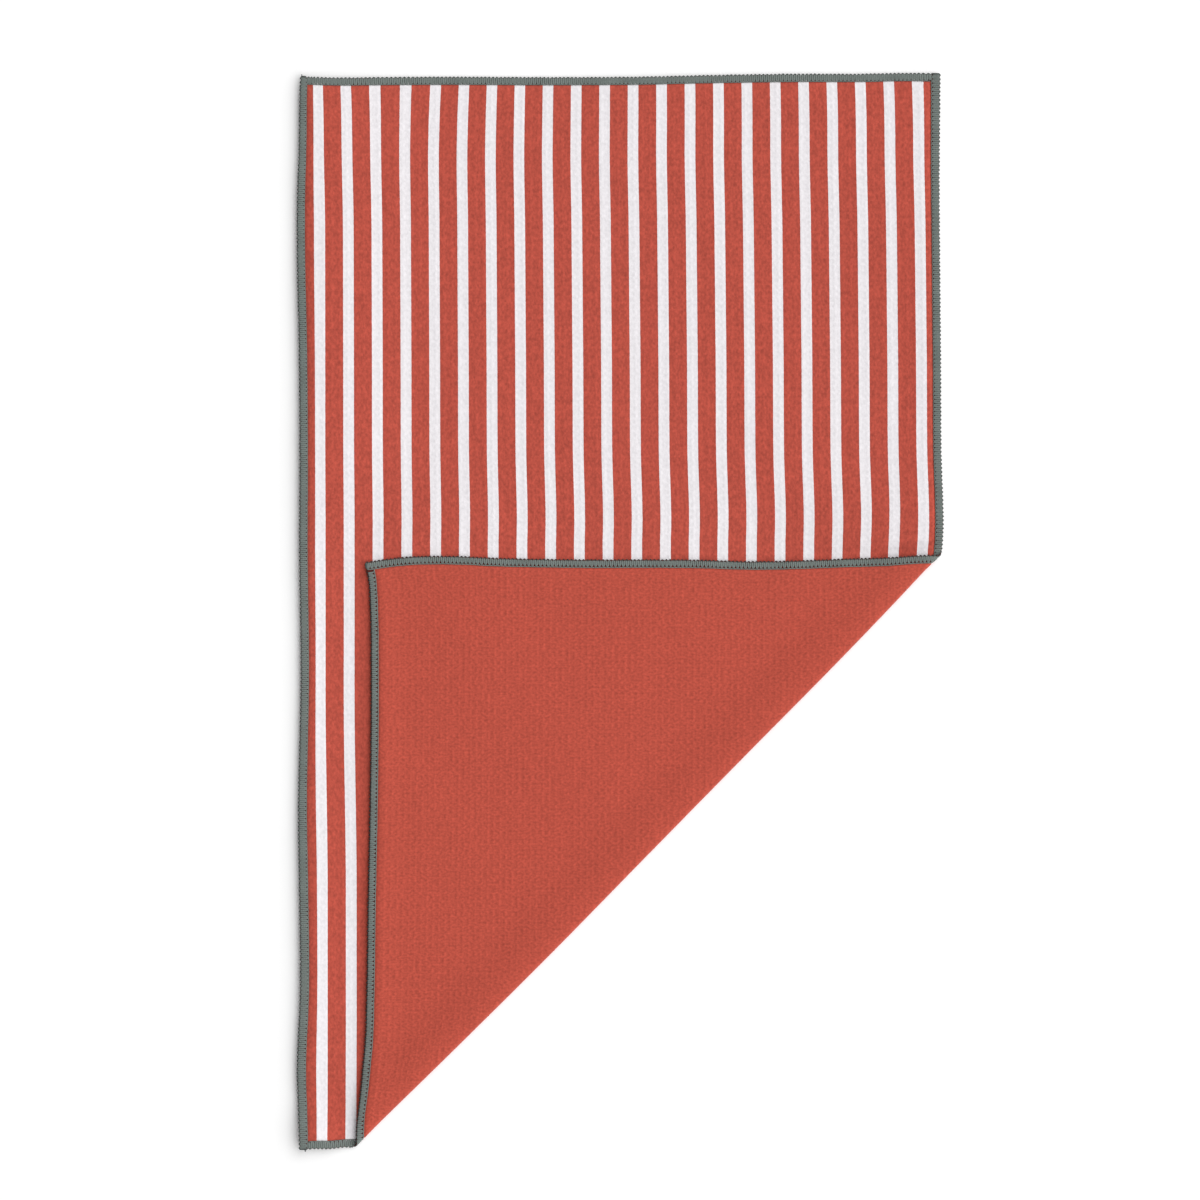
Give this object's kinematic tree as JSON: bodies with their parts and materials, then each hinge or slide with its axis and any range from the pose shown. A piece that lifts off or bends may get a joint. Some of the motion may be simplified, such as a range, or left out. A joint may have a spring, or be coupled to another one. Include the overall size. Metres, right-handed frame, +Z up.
{
  "type": "golf towel",
  "caption": "Flat microfibre waffle towel with a striped face, a plain back and overlocked edges, one corner folded over on the diagonal.",
  "frame": {"origin": "middle of the flat cut, on the surface that the towel's back rests on", "axes": "+Z up out of the striped face, +Y along the towel's length towards its top, +X across its width towards the side whose lower corner is folded"},
  "size_m": [0.4572, 0.765, 0.007],
  "materials": {
    "waffle_cloth": "matt brushed microfibre in a fine waffle knit, rust red with white stripes printed on the face",
    "edging_thread": "textured polyester overlock thread, grey green, soft sheen"
  },
  "bodies": {
    "panel": {"cloth_panel": "waffle_cloth", "cloth_crease": "waffle_cloth", "left_edge_needle_thread": "edging_thread", "left_edge_face_looper": "edging_thread", "left_edge_back_looper": "edging_thread", "top_edge_needle_thread": "edging_thread", "top_edge_face_looper": "edging_thread", "top_edge_back_looper": "edging_thread", "right_edge_needle_thread": "edging_thread", "right_edge_face_looper": "edging_thread", "right_edge_back_looper": "edging_thread", "bottom_edge_needle_thread": "edging_thread", "bottom_edge_face_looper": "edging_thread", "bottom_edge_back_looper": "edging_thread", "top_left_thread_tail": "edging_thread", "bottom_left_thread_tail": "edging_thread"},
    "flap": {"cloth_flap": "waffle_cloth", "flap_right_edge_needle_thread": "edging_thread", "flap_right_edge_face_looper": "edging_thread", "flap_right_edge_back_looper": "edging_thread", "flap_bottom_edge_needle_thread": "edging_thread", "flap_bottom_edge_face_looper": "edging_thread", "flap_bottom_edge_back_looper": "edging_thread"}
  },
  "joints": [
    {"name": "corner_fold", "type": "hinge", "parent": "panel", "child": "flap", "pos_m": [0.02066, -0.17306, 0.0035], "axis": [0.7071, 0.7071, 0], "range_deg": [0, 179.5], "deforming": ["cloth_crease"]}
  ]
}
